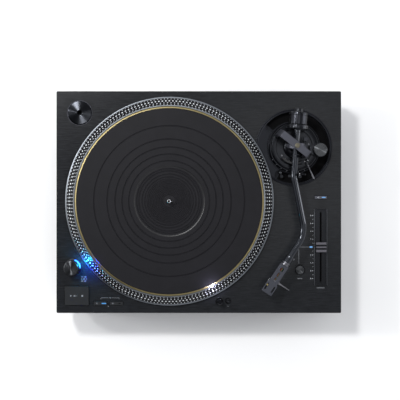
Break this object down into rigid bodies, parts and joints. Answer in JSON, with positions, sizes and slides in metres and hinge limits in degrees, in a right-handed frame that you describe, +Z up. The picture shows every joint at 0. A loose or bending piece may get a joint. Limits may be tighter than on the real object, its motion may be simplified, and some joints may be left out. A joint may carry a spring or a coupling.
{
  "type": "turntable record player",
  "caption": "Low black direct-drive record player: square deck, round platter with a dotted rim and rubber mat, S-shaped tonearm on a lifting base, pitch fader and push buttons.",
  "frame": {"origin": "on the surface the feet stand on, under the middle of the plinth", "axes": "+X to the right along the plinth's long side, +Y to the back, +Z up"},
  "size_m": [0.453, 0.353, 0.164],
  "materials": {
    "deck_black": "hairline brushed, black",
    "chassis_black": "fine textured black coat on die casting",
    "base_black": "matt black heavy rubber",
    "foot_black": "matt black rubber",
    "platter_silver": "turned and polished edge with a black dotted band",
    "brass": "polished edge",
    "mat_black": "matt with fine concentric grooves",
    "steel": "polished",
    "knob_black": "spun, black anodised",
    "dial_metal": "spun, dark satin",
    "plastic_black": "satin moulded",
    "button_grey": "satin moulded",
    "lens_blue": "lit blue",
    "copper": "varnished windings",
    "board": "green circuit board with parts",
    "magnet": "dull",
    "arm_black": "gloss black",
    "arm_plastic": "satin black",
    "arm_grey": "satin grey-black",
    "headshell_grey": "satin blue-grey",
    "cartridge_black": "gloss",
    "mark_white": "fine printed marks",
    "lead_red": "thin lead wire"
  },
  "bodies": {
    "plinth": {"top_panel": "deck_black", "chassis": "chassis_black", "base_tray": "base_black", "control_board": "board", "power_supply_board": "board", "terminal_housing": "plastic_black", "phono_jack_left": "steel", "phono_jack_right": "steel", "ground_terminal": "steel", "ac_inlet": "plastic_black", "bearing_housing": "steel", "motor_board": "board", "stator": "copper", "lamp_sleeve": "plastic_black", "strobe_housing": "plastic_black", "strobe_window": "lens_blue", "pitch_plate": "plastic_black", "pitch_fader": "steel", "arm_base_flange": "arm_plastic"},
    "platter": {"platter": "platter_silver", "platter_brass_plate": "brass", "platter_mat": "mat_black", "spindle": "steel", "rotor_magnet": "magnet"},
    "power_knob": {"power_knob": "knob_black"},
    "start_stop_button": {"start_stop_button": "button_grey"},
    "speed_button_33": {"speed_button_33": "button_grey"},
    "speed_button_45": {"speed_button_45": "button_grey"},
    "target_lamp": {"target_lamp": "knob_black"},
    "lamp_button": {"lamp_button": "knob_black"},
    "pitch_knob": {"pitch_knob": "plastic_black"},
    "reset_button": {"reset_button": "knob_black"},
    "pitch_range_button": {"pitch_range_button": "button_grey"},
    "ep_adapter": {"ep_adapter": "knob_black"},
    "foot_1": {"foot_1": "foot_black"},
    "foot_2": {"foot_2": "foot_black"},
    "foot_3": {"foot_3": "foot_black"},
    "foot_4": {"foot_4": "foot_black"},
    "height_ring": {"height_ring": "arm_plastic"},
    "height_lock_lever": {"height_lock_lever": "knob_black"},
    "arm_base": {"arm_pedestal": "arm_plastic", "gimbal_bridge": "arm_grey", "top_pivot_screw": "brass", "antiskate_housing": "arm_plastic", "cue_cylinder": "arm_plastic", "arm_rest": "arm_plastic"},
    "antiskate_dial": {"antiskate_dial": "dial_metal"},
    "cue_lever": {"cue_lever": "steel"},
    "cue_lifter": {"cue_lifter": "arm_grey"},
    "arm_clamp": {"arm_clamp": "arm_plastic"},
    "gimbal": {"gimbal_ring": "arm_grey"},
    "tonearm": {"arm_tube": "arm_black", "headshell": "headshell_grey", "finger_lift": "steel", "cartridge": "cartridge_black", "stylus": "plastic_black"},
    "headshell_nut": {"headshell_nut": "steel"},
    "counterweight_bush": {"counterweight_bush": "arm_black"},
    "counterweight": {"counterweight": "arm_black"},
    "pressure_dial": {"pressure_dial": "arm_plastic"}
  },
  "joints": [
    {"name": "platter_spin", "type": "hinge", "parent": "plinth", "child": "platter", "pos_m": [-0.0465, 0.0015, 0.1], "axis": [0, 0, -1], "continuous": true},
    {"name": "power_turn", "type": "hinge", "parent": "plinth", "child": "power_knob", "pos_m": [-0.2002, -0.1034, 0.12], "axis": [0, 0, -1], "range_deg": [0, 35]},
    {"name": "start_press", "type": "slide", "parent": "plinth", "child": "start_stop_button", "axis": [0, 0, -1], "range_m": [0, 0.0018], "stiffness_N_per_m": 600, "springref_m": -0.0008},
    {"name": "speed_33_press", "type": "slide", "parent": "plinth", "child": "speed_button_33", "axis": [0, 0, -1], "range_m": [0, 0.001], "stiffness_N_per_m": 700, "springref_m": -0.0006},
    {"name": "speed_45_press", "type": "slide", "parent": "plinth", "child": "speed_button_45", "axis": [0, 0, -1], "range_m": [0, 0.001], "stiffness_N_per_m": 700, "springref_m": -0.0006},
    {"name": "lamp_lower", "type": "slide", "parent": "plinth", "child": "target_lamp", "axis": [0, 0, -1], "range_m": [0, 0.0195], "stiffness_N_per_m": 30, "springref_m": -0.015},
    {"name": "lamp_button_press", "type": "slide", "parent": "plinth", "child": "lamp_button", "axis": [0, 0, -1], "range_m": [0, 0.0006], "stiffness_N_per_m": 600, "springref_m": -0.0006},
    {"name": "pitch_slide", "type": "slide", "parent": "plinth", "child": "pitch_knob", "axis": [0, -1, 0], "range_m": [-0.05, 0.05]},
    {"name": "reset_press", "type": "slide", "parent": "plinth", "child": "reset_button", "axis": [0, 0, -1], "range_m": [0, 0.0015], "stiffness_N_per_m": 600, "springref_m": -0.0006},
    {"name": "range_press", "type": "slide", "parent": "plinth", "child": "pitch_range_button", "axis": [0, 0, -1], "range_m": [0, 0.0009], "stiffness_N_per_m": 700, "springref_m": -0.0006},
    {"name": "adapter_lift", "type": "slide", "parent": "plinth", "child": "ep_adapter", "axis": [0, 0, 1], "range_m": [0, 0.025]},
    {"name": "height_turn", "type": "hinge", "parent": "plinth", "child": "height_ring", "pos_m": [0.151, 0.0868, 0.11], "axis": [0, 0, 1], "range_deg": [0, 120]},
    {"name": "arm_rise", "type": "slide", "parent": "plinth", "child": "arm_base", "axis": [0, 0, 1], "range_m": [0, 0.006]},
    {"name": "lock_turn", "type": "hinge", "parent": "plinth", "child": "height_lock_lever", "pos_m": [0.132, 0.0408, 0.1], "axis": [0, 0, 1], "range_deg": [0, 50]},
    {"name": "arm_swing", "type": "hinge", "parent": "arm_base", "child": "gimbal", "pos_m": [0.151, 0.0868, 0.144], "axis": [0, 0, -1], "range_deg": [0, 42]},
    {"name": "arm_tilt", "type": "hinge", "parent": "gimbal", "child": "tonearm", "pos_m": [0.151, 0.0868, 0.144], "axis": [-0.9973, 0.0732, 0], "range_deg": [0, 10]},
    {"name": "nut_turn", "type": "hinge", "parent": "tonearm", "child": "headshell_nut", "pos_m": [0.13833, -0.08943, 0.144], "axis": [0.549, 0.8358, 0], "range_deg": [0, 45]},
    {"name": "weight_travel", "type": "slide", "parent": "tonearm", "child": "counterweight_bush", "axis": [0.0732, 0.9973, 0], "range_m": [-0.0025, 0.005]},
    {"name": "weight_turn", "type": "hinge", "parent": "counterweight_bush", "child": "counterweight", "pos_m": [0.151, 0.0868, 0.144], "axis": [0.0732, 0.9973, 0], "range_deg": [-360, 720]},
    {"name": "pressure_dial_turn", "type": "hinge", "parent": "counterweight", "child": "pressure_dial", "pos_m": [0.151, 0.0868, 0.144], "axis": [0.0732, 0.9973, 0], "range_deg": [-180, 180]},
    {"name": "antiskate_turn", "type": "hinge", "parent": "arm_base", "child": "antiskate_dial", "pos_m": [0.19, 0.0817, 0.13], "axis": [0, 0, -1], "range_deg": [0, 270]},
    {"name": "cue_turn", "type": "hinge", "parent": "arm_base", "child": "cue_lever", "pos_m": [0.16843, 0.06482, 0.1255], "axis": [-0.9415, -0.3371, 0], "range_deg": [0, 55]},
    {"name": "cue_rise", "type": "slide", "parent": "arm_base", "child": "cue_lifter", "axis": [0, 0, 1], "range_m": [0, 0.006]},
    {"name": "clamp_turn", "type": "hinge", "parent": "arm_base", "child": "arm_clamp", "pos_m": [0.15938, 0.08618, 0.1466], "axis": [-0.0732, -0.9973, 0], "range_deg": [0, 100]},
    {"name": "foot_1_turn", "type": "hinge", "parent": "plinth", "child": "foot_1", "pos_m": [-0.178, -0.128, 0.03], "axis": [0, 0, 1], "continuous": true},
    {"name": "foot_2_turn", "type": "hinge", "parent": "plinth", "child": "foot_2", "pos_m": [0.178, -0.128, 0.03], "axis": [0, 0, 1], "continuous": true},
    {"name": "foot_3_turn", "type": "hinge", "parent": "plinth", "child": "foot_3", "pos_m": [0.178, 0.128, 0.03], "axis": [0, 0, 1], "continuous": true},
    {"name": "foot_4_turn", "type": "hinge", "parent": "plinth", "child": "foot_4", "pos_m": [-0.178, 0.128, 0.03], "axis": [0, 0, 1], "continuous": true}
  ],
  "couplings": [
    {"joint": "height_turn", "follows": "arm_rise", "rad_per_m": 349.06},
    {"joint": "cue_turn", "follows": "cue_rise", "rad_per_m": 159.98},
    {"joint": "weight_turn", "follows": "weight_travel", "rad_per_m": 2513.3}
  ]
}
